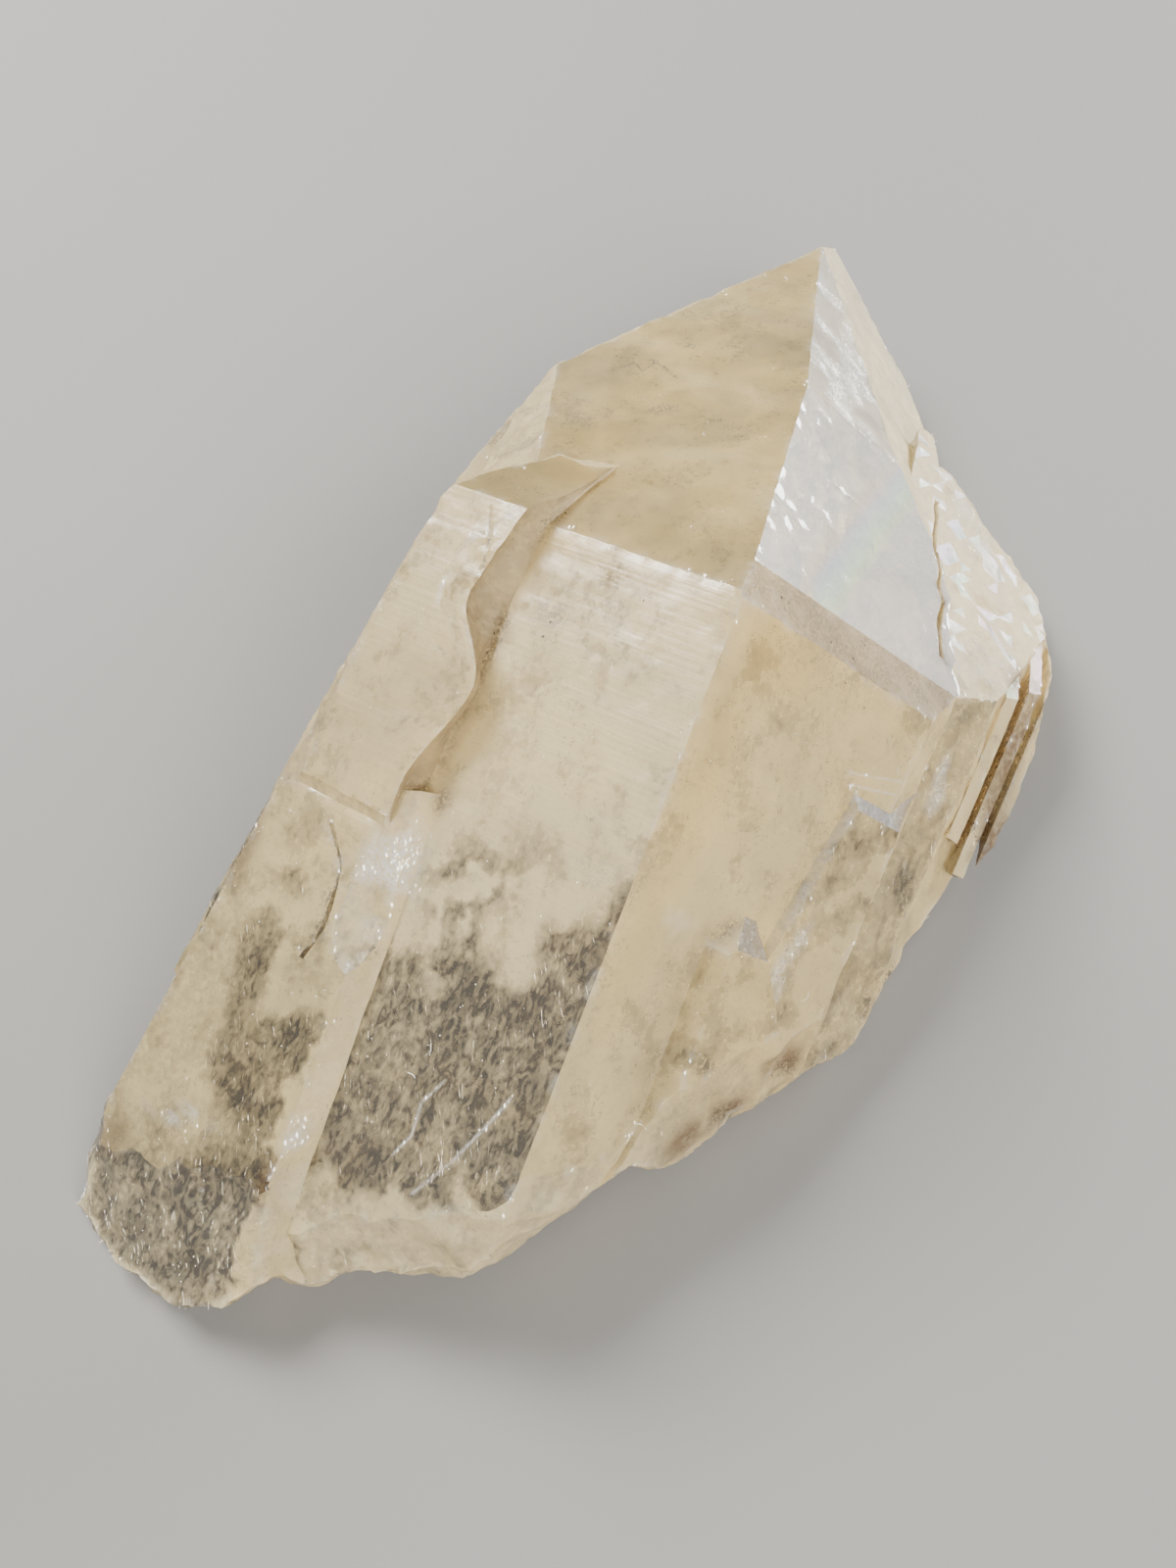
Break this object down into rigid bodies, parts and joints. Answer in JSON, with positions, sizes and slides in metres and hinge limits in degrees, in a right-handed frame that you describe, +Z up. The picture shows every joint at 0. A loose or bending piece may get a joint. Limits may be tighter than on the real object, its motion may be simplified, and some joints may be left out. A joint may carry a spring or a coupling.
{
  "type": "smoky quartz elestial crystal",
  "caption": "Pale smoky quartz elestial: parallel crystals grown together with a steep faceted tip, stepped side plates and broken lower edges, lying on its flat underside",
  "frame": {"origin": "centre of the bounding box in plan, on the flat face that the crystal lies on", "axes": "+Z up; +Y along the crystal's length towards its tip, which lies low; +X to the side of the low rough flank"},
  "size_m": [0.1288, 0.2526, 0.0699],
  "materials": {
    "smoky_quartz": "clear to milky quartz, natural crystal faces with fine growth lines, satin to glossy, with iron-stained broken edges"
  },
  "bodies": {
    "root": {"quartz_crystal": "smoky_quartz"}
  },
  "joints": []
}
